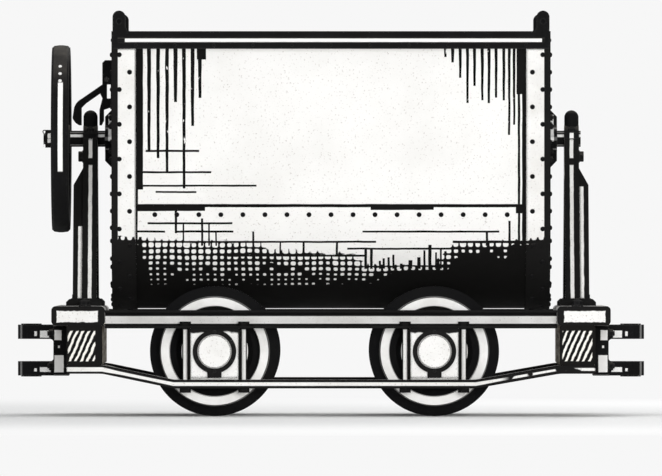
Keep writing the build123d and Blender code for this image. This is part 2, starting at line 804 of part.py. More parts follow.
prong_tip_z = axis_z + latch_tip
bend_z = axis_z + latch_bend
belly_z = axis_z + latch_belly
crotch_z = axis_z + latch_crotch
outer_face_x = outer_prong_x + 2 * latch_thick
bend_out_x = outer_face_x - latch_thick / 3
with BuildPart() as latch_hook:
    with BuildSketch(Plane.XZ.offset(-latch_half_wide)):
        with BuildLine():
            Polyline(
                (-latch_head_x, latch_head_z),
                (-shank_x, latch_head_z),
                (-shank_x, stop_high_z),
                (-wall_x, stop_high_z),
                (-wall_x, stop_low_z),
                (-inner_prong_x + latch_thick, stop_low_z - latch_thick / 2),
                (-inner_prong_x + latch_thick, prong_tip_z + latch_thick),
                (-inner_prong_x + latch_thick / 2, prong_tip_z),
                (-inner_prong_x, prong_tip_z),
                (-inner_prong_x, stop_low_z - latch_thick / 2),
                (-latch_head_x, stop_high_z),
                (-latch_head_x - latch_thick / 2, crotch_z),
                (-outer_prong_x + latch_thick, bend_z),
                (-outer_prong_x, bend_z - latch_thick),
                (-outer_prong_x, prong_tip_z),
                (-outer_prong_x - latch_thick / 2, prong_tip_z),
            )
            ThreePointArc(
                (-outer_prong_x - latch_thick / 2, prong_tip_z),
                (-outer_face_x + latch_thick / 4, (belly_z + prong_tip_z) / 2 + latch_thick / 4),
                (-outer_face_x, belly_z),
            )
            Line((-outer_face_x, belly_z), (-bend_out_x, bend_z - latch_thick))
            ThreePointArc(
                (-bend_out_x, bend_z - latch_thick),
                (-bend_out_x + latch_thick / 2, bend_z),
                (-outer_prong_x, bend_z + latch_thick),
            )
            Line((-outer_prong_x, bend_z + latch_thick), (-latch_head_x, latch_head_z))
        make_face()
    extrude(amount=2 * latch_half_wide)
keep(latch_hook, "latch_hook")
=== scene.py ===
# %% [markdown]
# # Dressing a side dump ore cart
# The cart is a mine car with a riveted U shaped tub, hung on trunnions between two end stands.
# Its solids come in from the frame at their real size and are never moved. This lesson adds the
# small fasteners and the finishes of old painted iron and oak.

# %% Load the frame
from functools import partialmethod
from math import cos, pi, radians, sin

import bmesh
import bpy
from bmesh.types import BMEdge, BMVert
from mathutils import Matrix, Vector


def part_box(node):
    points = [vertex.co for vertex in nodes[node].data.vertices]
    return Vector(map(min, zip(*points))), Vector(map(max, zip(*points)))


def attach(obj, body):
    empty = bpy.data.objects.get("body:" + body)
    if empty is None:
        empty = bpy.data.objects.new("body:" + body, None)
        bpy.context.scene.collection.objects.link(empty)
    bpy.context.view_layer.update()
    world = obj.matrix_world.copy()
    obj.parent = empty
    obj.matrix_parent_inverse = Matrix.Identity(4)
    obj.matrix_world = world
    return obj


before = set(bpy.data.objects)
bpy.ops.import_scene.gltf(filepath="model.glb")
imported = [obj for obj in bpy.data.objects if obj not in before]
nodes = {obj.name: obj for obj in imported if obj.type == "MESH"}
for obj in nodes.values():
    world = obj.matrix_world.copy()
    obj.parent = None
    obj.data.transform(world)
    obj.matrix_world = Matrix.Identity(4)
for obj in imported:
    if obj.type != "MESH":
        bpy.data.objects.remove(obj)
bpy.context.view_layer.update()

# %% [markdown]
# The picture is a side view without perspective. An orthographic camera would match it, but crops
# the cart in other views, so a long lens stands far off. Its frame is as wide as the picture's
# half way from the tub's near side to the cart's middle.


# %% Camera
def add_object(name, data):
    """Make an object and put it in the scene."""
    made = bpy.data.objects.new(name, data)
    bpy.context.scene.collection.objects.link(made)
    return made


near_side_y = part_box("tub_trough")[0].y
picture_wide, camera_z = 2.452, 0.658
lens, sensor = 800.0, 36.0
camera_data = bpy.data.cameras.new("side_camera")
camera_data.lens = lens
camera_data.sensor_width = sensor
camera_data.clip_end = 300
camera = add_object("side_camera", camera_data)
camera.location = (0, near_side_y / 2 - picture_wide * lens / sensor, camera_z)
camera.rotation_euler = (pi / 2, 0, 0)
bpy.context.scene.camera = camera
bpy.context.scene.view_settings.view_transform = "Standard"
print("camera stands", round(-camera.location.y, 2), "m off")

# %% [markdown]
# Paint, soot and wear are masks, worked out from where a point lies. Most of such a tree is sums,
# which are long to write node by node. So one helper adds a node and fills its sockets, and in a
# small class plain arithmetic adds the Math nodes.


# %% Nodes
def fill(tree, node, **sockets):
    """Set or link a node's sockets, by name, or by place as s0, s1 and so on."""
    for name, value in sockets.items():
        by_place = name[0] == "s" and name[1:].isdigit()
        socket = node.inputs[int(name[1:]) if by_place else name.replace("_", " ")]
        value = getattr(value, "socket", value)
        if isinstance(value, bpy.types.NodeSocket):
            tree.links.new(value, socket)
        else:
            socket.default_value = value


def put(tree, kind, options=None, **sockets):
    """Add a shader node and give back its outputs."""
    made = tree.nodes.new("ShaderNode" + kind)
    for name, value in (options or {}).items():
        setattr(made, name, value)
    fill(tree, made, **sockets)
    return made.outputs


# %% Numbers
class Number:
    """A number that changes over the surface. Sums on it add Math nodes."""

    def __init__(self, tree, socket):
        self.tree, self.socket = tree, socket

    def math(self, operation, b=0.0, c=0.0):
        """A Math node with this number in its first socket."""
        options = {"operation": operation}
        return Number(self.tree, put(self.tree, "Math", options, s0=self, s1=b, s2=c)[0])

    def __rsub__(self, other):
        return self.math("MULTIPLY_ADD", -1.0, other)

    def near(self, middle, half):
        """1 where the number is no further than half from the middle."""
        return self.math("COMPARE", middle, half)

    def step(self, start, stop, low=0.0, high=1.0, kind="SMOOTHSTEP"):
        """A soft step from low at start to high at stop."""
        made = put(self.tree, "MapRange", {"interpolation_type": kind}, s0=self, s1=start, s2=stop,
                   s3=low, s4=high)
        return Number(self.tree, made[0])

    def slope(self, start, stop, low=0.0, high=1.0):
        """The same in a straight line."""
        return self.step(start, stop, low, high, "LINEAR")


# Python's signs, and the Math nodes that they stand for
signs = {"add": "ADD", "sub": "SUBTRACT", "mul": "MULTIPLY", "truediv": "DIVIDE", "pow": "POWER",
         "abs": "ABSOLUTE", "gt": "GREATER_THAN", "lt": "LESS_THAN"}
for sign, operation in signs.items():
    setattr(Number, f"__{sign}__", partialmethod(Number.math, operation))


def highest(first, *others):
    """The highest of several numbers."""
    for other in others:
        first = first.math("MAXIMUM", other)
    return first


def lowest(first, *others):
    """The lowest of several numbers."""
    for other in others:
        first = first.math("MINIMUM", other)
    return first


def distance(a, b):
    """The length of two distances square to each other."""
    return (a * a + b * b) ** 0.5


# %% Where a point lies, and noise
def place_of(tree, kind="Object"):
    """The surface's X, Y and Z in the piece's own frame."""
    where = put(tree, "TexCoord")[kind]
    return [Number(tree, part) for part in put(tree, "SeparateXYZ", Vector=where)]


def facing_of(tree):
    """The X, Y and Z of the way that the surface looks."""
    return place_of(tree, "Normal")


def looks_across(tree):
    """1 on faces that look to either side of the cart."""
    return abs(facing_of(tree)[1]).step(0.5, 0.75)


def noise(tree, scale, detail, stretch=(1, 1, 1), rough=0.5):
    """Noise, stretched along an axis where its number is small."""
    mapped = put(tree, "Mapping", Vector=put(tree, "TexCoord")["Object"], Scale=stretch)[0]
    sockets = {"Vector": mapped, "Scale": scale, "Detail": detail, "Roughness": rough}
    return Number(tree, put(tree, "TexNoise", **sockets)[0])


def wander(tree, scale, detail, stretch=(1, 1, 1)):
    """Noise that goes as far below zero as above it."""
    return noise(tree, scale, detail, stretch) - 0.5


def profile(value, points):
    """A number that follows a row of points. Columns: value, result."""
    start, stop = points[0][0], points[-1][0]
    made = put(value.tree, "ValToRGB", s0=value.slope(start, stop))
    steps = made[0].node.color_ramp.elements
    steps[0].color = (points[0][1],) * 3 + (1,)
    steps[1].color = (points[-1][1],) * 3 + (1,)
    for at, height in points[1:-1]:
        steps.new((at - start) / (stop - start)).color = (height,) * 3 + (1,)
    return Number(value.tree, made[0])


def blend(mask, a, b):
    """Colour a where the mask is 0 and b where it is 1."""
    return put(mask.tree, "Mix", {"data_type": "RGBA"}, s0=mask, s6=a, s7=b)[2]


# %% [markdown]
# An effect that several finishes share is a node group, built once with named numbers. Its nodes
# could be copied into every material, but a change would then have to be made in each.


# %% Node groups
def open_group(name, **numbers):
    """A node group and its number inputs."""
    tree = bpy.data.node_groups.new(name, "ShaderNodeTree")
    for label, value in numbers.items():
        label = label.replace("_", " ")
        socket = tree.interface.new_socket(label, in_out="INPUT", socket_type="NodeSocketFloat")
        socket.default_value = value
    first = tree.nodes.new("NodeGroupInput")
    return tree, [Number(tree, given) for given in first.outputs if given.name]


def close_group(tree, **results):
    """Name the group's results and link them."""
    for label in results:
        tree.interface.new_socket(label, in_out="OUTPUT", socket_type="NodeSocketFloat")
    last = tree.nodes.new("NodeGroupOutput")
    fill(tree, last, **results)
    print("group", tree.name, "has", len(tree.nodes), "nodes")


def use(tree, group, **numbers):
    """Place a group and give back its result, or all of them."""
    results = [Number(tree, made) for made in put(tree, "Group", {"node_tree": group}, **numbers)]
    return results if len(results) > 1 else results[0]


# %% [markdown]
# Paint goes first from the edges of a casting. Pointiness finds edges, but only on a dense mesh.
# A Bevel node works on any: it gives the normal of a rounded edge, and where that turns away from
# the true normal there is an edge. Noise makes the worn band ragged.

# %% Edge wear
edge_wear, (width, raggedness) = open_group("edge wear", Width=0.006, Ragged=0.5)
rounded = put(edge_wear, "Bevel", {"samples": 4}, Radius=width * 3.0)[0]
true_normal = put(edge_wear, "NewGeometry")["Normal"]
dot = {"operation": "DOT_PRODUCT"}
likeness = put(edge_wear, "VectorMath", dot, s0=rounded, s1=true_normal)["Value"]
bitten = wander(edge_wear, 55.0, 4.0) * raggedness * 0.12 + (1.0 - Number(edge_wear, likeness))
close_group(edge_wear, Mask=bitten.step(0.030, 0.060))

# %% [markdown]
# On beam ends and coupling plates paint is left only in the middle of the face. A painted picture
# would have to be laid out for each face. Here the border is worked out from the face's limits,
# so one group serves them all.

# %% Bare borders
border, (low_x, high_x, low_z, high_z, chips) = open_group(
    "bare border", Low_X=0.0, High_X=1.0, Low_Z=0.0, High_Z=1.0, Chips=0.008)
x, _, z = place_of(border)
inset = lowest(abs(x) - low_x, high_x - abs(x), z - low_z, high_z - z)
bare = (wander(border, 70.0, 4.0) * chips + inset).step(0.0012, -0.0012)
facing = looks_across(border)
close_group(border, Mask=bare * facing, Facing=facing)


def bordered(tree, low_x, high_x, low_z, high_z, chips=0.008):
    """A face's bare border, and where the face looks across the cart."""
    return use(tree, border, Low_X=low_x, High_X=high_x, Low_Z=low_z, High_Z=high_z, Chips=chips)


# %% [markdown]
# Dirt lies in broad clouds and fine specks. A casting keeps the grain of its mould, a rolled
# plate is faintly wavy, and dust settles on what faces up. All read the piece's own frame and not
# the world's, so they stay on the iron when the tub tips.

# %% Clouds and specks
grime, (clouds, specks) = open_group("grime", Clouds=3.0, Specks=160.0)
close_group(grime, Cloud=noise(grime, clouds, 5.0, rough=0.62).step(0.38, 0.68),
            Speck=noise(grime, specks, 2.0).step(0.62, 0.72))

# %% Skin of a casting or plate
skin, (wave, grain) = open_group("skin", Wave=0.3, Grain=0.3)
close_group(skin, Height=noise(skin, 7.0, 2.0) * wave + noise(skin, 210.0, 3.0) * grain)

# %% Settled dust
dust, (amount,) = open_group("dust", Amount=0.5)
flat_top = facing_of(dust)[2].step(0.45, 0.95)
patchy = noise(dust, 14.0, 4.0).step(0.3, 0.75, 0.35, 1.0)
close_group(dust, Mask=flat_top * patchy * amount)

# %% [markdown]
# The colours are greys with a little warmth, as the picture is black and white. Each finish ends
# in one Principled shader. The helper makes the material, gives it a rounded edge and the bump of
# its skin, and hands back the shader to colour.

# %% Colours
pale_paint = (0.84, 0.83, 0.81, 1)
# Pale paint, and the colour of painted highlights on black iron
fresh_paint_and_highlight = (0.95, 0.94, 0.92, 1)
pale_stain = (0.66, 0.645, 0.61, 1)
black_paint = (0.0045, 0.0045, 0.005, 1)
bare_iron = (0.0065, 0.0062, 0.006, 1)
worn_steel = (0.30, 0.295, 0.285, 1)
# Black of worn edges, and of the painted shade and shadow on the tub's plates
wear_and_shade_black = (0.0035, 0.0033, 0.003, 1)
ore_dust = (0.30, 0.275, 0.24, 1)
rust = (0.13, 0.07, 0.042, 1)


# %% Start of a finish
def open_finish(name, gloss=0.11, bump=0.25, wave=0.3, grain=0.3, depth=0.002):
    """A new material with its shader and the bump of its skin."""
    material = bpy.data.materials.new(name)
    material.use_nodes = True
    tree = material.node_tree
    shader = tree.nodes["Principled BSDF"]
    soft_edge = put(tree, "Bevel", {"samples": 4}, Radius=0.0022)[0]
    height = use(tree, skin, Wave=wave, Grain=grain)
    relief = put(tree, "Bump", Strength=bump, Distance=depth, Height=height, Normal=soft_edge)[0]
    fill(tree, shader, Specular_IOR_Level=gloss, Normal=relief)
    print("finish", name)
    return material, tree, shader


# %% [markdown]
# The frame's pale iron is chalky paint, clouded, specked with rust and worn along its edges. The
# rim, caps, hand wheel and latch are thin black paint with a dull shine. Castings differ in how
# worn they are and in which parts are dark or pale, so both are functions and not one material.


# %% Pale painted iron
def pale_iron(name, edge=0.008, dusty=0.5, dark=None, paint=pale_paint):
    """Pale paint over iron. dark may add a mask for black parts, painted shade and shadow among them."""
    material, tree, shader = open_finish(name, bump=0.35)
    cloud, speck = use(tree, grime, Clouds=4.5, Specks=190.0)
    worn = use(tree, edge_wear, Width=edge, Ragged=0.6)
    if dark:
        worn = highest(worn, dark(tree))
    base = blend(cloud * 0.55, paint, pale_stain)
    base = blend(use(tree, dust, Amount=dusty), base, ore_dust)
    base = blend(speck * 0.40, base, rust)
    fill(tree, shader, Base_Color=blend(worn, base, bare_iron), Roughness=cloud * 0.12 + 0.72)
    return material


# %% Black painted iron
def black_iron(name, edge=0.003, dusty=0.25, bright=None):
    """Black paint over iron. bright may add a mask for pale paint, painted highlights among it."""
    material, tree, shader = open_finish(name, gloss=0.12, bump=0.4, grain=0.45)
    cloud, _ = use(tree, grime, Clouds=7.0, Specks=240.0)
    worn = use(tree, edge_wear, Width=edge, Ragged=1.0) * 0.05
    base = blend(cloud * 0.6, black_paint, bare_iron)
    base = blend(use(tree, dust, Amount=dusty), base, ore_dust)
    base = blend(worn, base, worn_steel)
    if bright:
        # Pale paint and painted highlights over the black
        base = blend(bright(tree), base, fresh_paint_and_highlight)
    fill(tree, shader, Base_Color=base, Roughness=cloud * 0.18 + 0.74, Metallic=worn)
    return material


# %% [markdown]
# The tub is riveted plate, painted pale outside and scoured by ore inside. Two materials would
# need each plate's faces told apart. The normal can do that: where it points away from the tub's
# middle, the face is an outer one.

# %% Sizes of the tub
trough_low, trough_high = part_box("tub_trough")
angle_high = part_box("corner_angle_rear")[1]
rim_bottom_z = angle_high.z
tub_end_x = angle_high.x
corner_r = 0.368
tub_half_wide = trough_high.y
flat_half = tub_half_wide - corner_r
corner_z = trough_low.z + corner_r
print("tub seam at", round(trough_high.z, 3), "rim from", round(rim_bottom_z, 3))


# %% Inside or outside
def inside_mask(tree):
    """1 on the faces that look into the tub."""
    x, y, z = place_of(tree)
    along, across, up = facing_of(tree)
    outward = along * x + across * y + up * lowest(z - corner_z, 0.0)
    return outward.step(0.01, -0.01)


# %% [markdown]
# Below the seam the tub is painted black: painted shade, where the underside curves away from the
# light. The picture draws that shade as crossing lines that grow thinner upwards, which a blurred
# edge would lose. So it is a grid of soft gaps, each sized by white noise. The level lines keep
# their pitch round the curve, so from the side they close up.

# %% How high the black stands
def metres(*rows):
    """The rows of a table that is written in millimetres."""
    return [[value / 1000 for value in row] for row in rows]


# Tops of the painted shade and of its hatched lines. Columns: X, Z
shade_top_points = metres(
    (-810, 640), (-705, 632), (-690, 560), (-670, 487), (-100, 480), (160, 490), (230, 530), (430, 535),
    (460, 582), (560, 600), (640, 580), (690, 630), (810, 640),
)
hatch_top_points = metres(
    (-810, 668), (-700, 662), (-600, 656), (-270, 650), (-220, 618), (90, 600), (130, 562), (370, 558),
    (410, 600), (450, 640), (700, 655), (810, 668),
)


# %% Painted shade under the tub
def painted_underside_shade(tree):
    """Painted shade at the bottom of the tub, thinning upwards in crossing lines."""
    x, y, z = place_of(tree)
    round_curve = ((corner_z - z) / corner_r).math("ARCSINE") * corner_r
    at_end = abs(facing_of(tree)[0]) > 0.7
    along = at_end.slope(0.0, 1.0, x, y)
    where = at_end.slope(0.0, 1.0, x, -0.4)
    shade_top_z, hatch_top_z = profile(where, shade_top_points), profile(where, hatch_top_points)
    depth = (hatch_top_z - z) / (hatch_top_z - shade_top_z) + wander(tree, 24.0, 3.0) * 0.35
    shake = wander(tree, 8.0, 2.0) * 0.014
    cells, spans = [], []
    # Columns: coordinate, where a line lies, distance between lines
    for coordinate, start, pitch in ((along, -0.573, 0.0262), (round_curve, 0.1224, 0.0257)):
        turns = (coordinate - start + shake) / pitch
        cells.append(turns.math("FLOOR"))
        spans.append(abs(turns.math("FRACT") - 0.5))
    from_middle = (spans[0] ** 3.0 + spans[1] ** 3.0) ** (1 / 3)
    cell = put(tree, "CombineXYZ", X=cells[0], Y=cells[1])[0]
    chance = Number(tree, put(tree, "TexWhiteNoise", {"noise_dimensions": "2D"}, Vector=cell)["Value"])
    filled = (chance < 0.14) * (depth > 0.45)
    gap = depth.slope(0.0, 1.0, 0.40, 0.13) + (chance - 0.5) * 0.14 - filled
    lines = (from_middle - gap).step(-0.03, 0.03) * depth.step(0.0, 0.06)
    return highest(lines, depth.step(0.94, 1.0))


# %% [markdown]
# The plates carry painted shade as streaks and strokes: streaks hang from the rim near both ends,
# lines of painted shadow lie under the seam and the laps and beside the corner angles, and hatch
# strokes shade the plate where it curves away. Noise alone would put them anywhere, so tables list
# where they are, and noise only shakes their edges.

# %% Where the marks are
# Straight strokes and bands of painted shade and shadow. Columns: X from and to, Z from and to
side_shade_marks = metres(
    (-724.5, -694.5, 838, 1356), (-720.5, -713, 777, 838), (686, 724.5, 1190, 1356),
    (690, 697, 777, 1190), (706, 719.5, 777, 1190), (-494, -462, 1318, 1356), (-683, -487, 976, 982),
    (-694, -443, 898, 903.5), (-694, -276, 848.5, 853.5), (-646, -498, 825, 830), (-720, 720, 777, 782),
)
trough_shade_marks = metres(
    (-720, 720, 772.5, 777), (-716, -466, 758.5, 777), (147, 378, 762.5, 777), (682, 725, 750, 777),
    (690, 697, 630, 777), (706, 719.5, 630, 777), (-676, -365, 709.5, 715), (-717, -613, 679, 684.5),
    (-572, -361, 679, 684.5), (117, 620, 679.2, 684.3), (-650, 165, 641.2, 646.5),
    (450, 739, 640, 647.5), (61, 769, 616, 621.2), (-380, 128, 590, 595.2), (-575.5, -568.5, 677, 760),
    (-546.5, -542.5, 644, 710), (-478.5, -472.5, 630, 729), (-452, -448, 630, 710),
    (-426, -422, 630, 684), (-289.5, -284, 614, 681), (-189, -185, 592, 644), (-104.5, -98.5, 592, 644),
    (19, 25, 592, 644), (572, 579, 630, 681), (656, 662, 630, 721), (-720.5, -714, 630, 777),
    (124, 132, 545, 618.8), (145, 153, 545, 618.8), (178, 184, 545, 573), (191.5, 198, 545, 582),
    (210, 216, 545, 586), (227, 233, 545, 596), (256, 264, 545, 563), (287, 299, 545, 575),
    (319, 330, 545, 586), (342, 348, 545, 612), (360, 370, 545, 632), (385, 390, 545, 604),
    (403, 408, 545, 616), (419, 423, 545, 608),
)
# Streaks of painted shade hanging from the rim. Columns: X, half its width at the top, length
shade_streaks = metres(
    (-671.4, 6.2, 374), (-638, 5.6, 403), (-605, 5.6, 455), (-573.7, 6.8, 196), (-542.3, 5.6, 515),
    (-511, 6.2, 285), (-484, 6.2, 181), (422.4, 4.5, 30), (448.3, 4.8, 50), (477, 4.5, 107),
    (503.6, 4.2, 200), (529.4, 4.5, 137), (558, 4.5, 190), (583, 4.8, 200), (609, 4.2, 180),
    (637.5, 4.2, 190), (657.4, 4, 318), (675.8, 4, 280),
)

mark_spread, streak_spread = 0.0010, 0.0014
print(len(side_shade_marks) + len(trough_shade_marks), "marks and", len(shade_streaks), "streaks of painted shade")


# %% Marks and streaks of painted shade
def shaken_place(tree, amount=0.004):
    """The X and Z of the surface, moved a little so that edges are not ruled."""
    x, _, z = place_of(tree)
    return (wander(tree, 30.0, 3.0, (1.0, 1.0, 0.4)) * amount + x,
            wander(tree, 30.0, 3.0, (0.4, 1.0, 1.0)) * amount + z)


def marks_mask(tree, rows):
    """1 inside any of the rectangles, spread a little at their edges."""
    x, z = shaken_place(tree)
    total = 0.0
    for low_x, high_x, low_z, high_z in rows:
        in_x = x.near((low_x + high_x) / 2, (high_x - low_x) / 2 + mark_spread)
        in_z = z.near((low_z + high_z) / 2, (high_z - low_z) / 2 + mark_spread)
        total = in_x.math("MULTIPLY_ADD", in_z, total)
    return lowest(total, 1.0)


def shade_streaks_mask(tree):
    """Streaks of painted shade hanging from the rim, thinner on their way down."""
    x, z = shaken_place(tree, 0.005)
    drop = rim_bottom_z - z
    total = 0.0
    for at, half, length in shade_streaks:
        width = drop * (-0.40 * half / length) + (half + streak_spread)
        total = x.near(at, width).math("MULTIPLY_ADD", drop < length, total)
    broken = noise(tree, 60.0, 2.0, (1, 1, 0.5)).step(0.27, 0.33)
    return lowest(total, 1.0) * broken


# %% [markdown]
# On the plates the masks lie over each other from the paint outwards: clouds, specks, worn edges,
# the marks of painted shade and the painted shade below the seam, and last the scoured inside. The
# corner angles are pale on their flange and black on the band round the tub's end.


# %% Tub plate and corner angles
def tub_plate(name, streaked=True):
    """Painted plate with painted shade outside, scoured plate inside."""
    material, tree, shader = open_finish(name, bump=0.30, wave=1.0, grain=0.12, depth=0.003)
    cloud, speck = use(tree, grime, Clouds=2.2, Specks=150.0)
    base = blend(cloud * 0.30, pale_paint, pale_stain)
    base = blend(speck * 0.35, base, rust)
    worn = use(tree, edge_wear, Width=0.004, Ragged=0.8)
    marks = marks_mask(tree, side_shade_marks if streaked else trough_shade_marks)
    if streaked:
        marks = highest(marks, shade_streaks_mask(tree))
    # Worn edges, the marks of painted shade and the painted underside shade turn to one black
    outside = blend(highest(worn, marks * looks_across(tree), painted_underside_shade(tree)), base, wear_and_shade_black)
    rubbed = blend(cloud, (0.20, 0.19, 0.18, 1), (0.11, 0.095, 0.085, 1))
    fines = (noise(tree, 6.0, 4.0) * 0.35 + place_of(tree)[2]).step(1.05, 0.62)
    inside = blend(fines * 0.75, rubbed, ore_dust)
    within = inside_mask(tree)
    fill(tree, shader, Base_Color=blend(within, outside, inside), Metallic=within * 0.35,
         Roughness=cloud * 0.12 + 0.74)
    return material


def angle_band(tree):
    """The black band on the tub's outer corner, and painted underside shade below."""
    band = abs(place_of(tree)[0]).step(tub_end_x - 0.0250, tub_end_x - 0.0225)
    return highest(band, painted_underside_shade(tree))


# %% [markdown]
# A wheel is a black flange, a pale rim face, a black recess and a pale boss, with a tread worn
# bright, and the boxes' covers have a dark ring. The black of the flange and of the recess is
# painted shade. Each would take its own mask, but one distance, from the nearer axle, serves
# them all.

# %% Distance from an axle
front_low, front_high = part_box("axle_front")
rear_low, rear_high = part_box("axle_rear")
front_axle_x = (front_low.x + front_high.x) / 2
rear_axle_x = (rear_low.x + rear_high.x) / 2
axle_z = (front_low.z + front_high.z) / 2
gear_x = (front_axle_x + rear_axle_x) / 2
half_base = (rear_axle_x - front_axle_x) / 2
print("wheelbase", round(2 * half_base, 3), "axles at", round(axle_z, 3))


def beyond_axle(tree):
    """How far a point lies beyond its nearer axle along the cart."""
    return abs(place_of(tree)[0] - gear_x) - half_base


def axle_distance(tree):
    """Distance from the nearer axle in the side view."""
    return distance(beyond_axle(tree), place_of(tree)[2] - axle_z)


# %% Wheels
def wheel_iron(name):
    """Dark casting with painted shade on its flange and recess, a pale rim face and dish, and a bright
    tread.
    """
    material, tree, shader = open_finish(name, bump=0.5, grain=0.6)
    away = axle_distance(tree)
    flat_on = abs(facing_of(tree)[1]).step(0.55, 0.85)
    cloud, _ = use(tree, grime, Clouds=9.0, Specks=200.0)
    rim_face = away.step(0.164, 0.169) * away.step(0.204, 0.199)
    dish = away.step(0.134, 0.129) * away.step(0.100, 0.107)
    tread = away.step(0.196, 0.199) * (1.0 - flat_on)
    # Black over the whole wheel, which on the flange and the recess is painted shade
    base = blend(cloud * 0.7, black_paint, bare_iron)
    chalk = blend(cloud * 0.4, fresh_paint_and_highlight, pale_stain)
    base = blend(highest(rim_face, dish) * flat_on, base, chalk)
    base = blend(tread, base, worn_steel)
    fill(tree, shader, Base_Color=base, Roughness=tread * -0.40 + 0.78, Metallic=tread * 0.9)
    return material


# %% [markdown]
# The running gear is pale in the middle of its faces and dark at their borders: the tops of the
# boxes, the flanges of the side rails, the edges of the arch bars. The dark tops of the boxes, the
# rails' upper webs and the sides of the column bolts are painted shade. Edge wear would leave
# these too thin, so each part has a mask measured from the box round its solid.

# %% Shades of the running gear
sill_low, sill_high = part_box("end_sill_rear")
rail_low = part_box("side_rail_near")[0]
box_low, box_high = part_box("journal_box_rear_near")
arch_low, arch_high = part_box("arch_bar_near")
print("journal boxes from", round(box_low.z, 3), "to", round(box_high.z, 3))


def cover_ring(tree):
    """The dark flange round the cover's pale boss."""
    return axle_distance(tree).step(0.0620, 0.0640)


def box_painted_shadow(tree):
    """Painted shadow of the rail on the top of the boxes, and dark sides."""
    z = wander(tree, 20.0, 3.0) * 0.03 + place_of(tree)[2]
    upper = z.step(box_high.z - 0.020, box_high.z - 0.014)
    return highest(upper, abs(beyond_axle(tree)).step(0.0865, 0.0890))


def rail_lips_and_shade(tree):
    """Dark but for the middle of the face that looks out: the lips, painted shadow on the web under them,
    and painted shade on the other faces.
    """
    _, y, z = place_of(tree)
    outward = y.math("SIGN") * facing_of(tree)[1]
    upper = z.step(rail_low.z + 0.0440, rail_low.z + 0.0460)
    lower = z.step(rail_low.z + 0.0182, rail_low.z + 0.0162)
    return highest(upper, lower, outward.step(0.7, 0.5))


def bolt_shade(tree):
    """Dark nuts at both ends of the bolts, and painted shade on the sides of their shanks."""
    z = place_of(tree)[2]
    lower = z.step(box_low.z - 0.001, box_low.z - 0.004)
    upper = z.step(box_high.z - 0.006, box_high.z - 0.002)
    return highest(lower, upper, abs(facing_of(tree)[1]).step(0.80, 0.72))


# %% Edges of the arch bars
arch_half_thick = 0.016
arch_level_half = half_base + 0.152
# Columns: X, half the height of the arch bar's pale core
arch_core = metres(
    (-980, 8.2), (-830, 7.8), (-780, 5.6), (-660, 5.4), (-580, 6.6), (550, 6.4), (630, 4.5), (820, 4),
    (860, 5), (980, 5.3),
)


def arch_edges(tree):
    """Dark upper and lower edges of the arch bars, round their bends too."""
    x, _, z = place_of(tree)
    rise = arch_high.z - arch_low.z - 2 * arch_half_thick
    front = x.slope(gear_x - arch_level_half, -sill_low.x, 0.0, rise)
    rear = x.slope(gear_x + arch_level_half, sill_low.x, 0.0, rise)
    off = abs(z - (front + rear + (arch_low.z + arch_half_thick)))
    edge = (off - profile(x, arch_core)).step(-0.0006, 0.0006)
    gaps = noise(tree, 14.0, 2.0).step(0.52, 0.56) * x.step(0.62, 0.66)
    return highest(edge, gaps) * looks_across(tree)


# %% [markdown]
# The sills are oak. From the side they show their end grain, with dark saw marks that slope
# across it, and along them the grain runs with Y. Stretched noise gives the long grain. The saw
# marks are regular, so a tilted Wave texture draws them.


# %% Oak sills
def oak(name):
    """Weathered oak with end grain on the faces that look across the cart."""
    dark_oak = (0.006, 0.0055, 0.005, 1)
    material, tree, shader = open_finish(name, bump=0.5, wave=0.2, grain=0.5)
    long_grain = noise(tree, 60.0, 5.0, (1, 0.035, 1), 0.6).step(0.35, 0.65)
    timber = blend(long_grain, (0.40, 0.36, 0.30, 1), (0.16, 0.135, 0.105, 1))
    where = put(tree, "TexCoord")["Object"]
    tilted = put(tree, "Mapping", Vector=where, Rotation=(0, radians(-24), 0))[0]
    wave = put(tree, "TexWave", {"bands_direction": "X"}, Vector=tilted, Scale=16.0, Distortion=1.6,
               Detail=2.0, Detail_Scale=2.5)[1]
    end = blend(Number(tree, wave).step(0.34, 0.46), (0.84, 0.81, 0.75, 1), dark_oak)
    rear = place_of(tree)[0] > 0.0
    low_x, high_x = rear * -0.015 + (sill_low.x + 0.026), rear * -0.007 + (sill_high.x - 0.005)
    bare, facing = bordered(tree, low_x, high_x, sill_low.z + 0.014, sill_high.z - 0.020)
    worn = use(tree, edge_wear, Width=0.006, Ragged=0.7)
    base = blend(highest(bare, worn * 0.6), blend(facing, timber, end), dark_oak)
    fill(tree, shader, Base_Color=blend(use(tree, dust, Amount=0.4), base, ore_dust), Roughness=0.8)
    return material


# %% [markdown]
# The axles are turned steel, oily and brighter than the paint, and so are small parts that were
# never painted: rivet tails, the latch's pin and the split pin. Full metal would look new, so
# clouds of grease dull it.


# %% Turned steel
def turned_steel(name):
    """Oiled bright steel with dark grease."""
    material, tree, shader = open_finish(name, grain=0.4)
    cloud, _ = use(tree, grime, Clouds=16.0, Specks=120.0)
    worn = use(tree, edge_wear, Width=0.005, Ragged=0.5)
    base = blend(cloud, (0.34, 0.335, 0.33, 1), (0.07, 0.065, 0.06, 1))
    fill(tree, shader, Base_Color=blend(worn * 0.9, base, bare_iron), Roughness=cloud * 0.3 + 0.32,
         Metallic=cloud.step(1.0, 0.0, 0.3, 0.85))
    return material


# %% [markdown]
# The hand wheel's rim and the rim bar's bead show clean pale bands in the picture, where light
# catches them. A highlight would slide with the view, so these painted highlights are part of the
# finish.

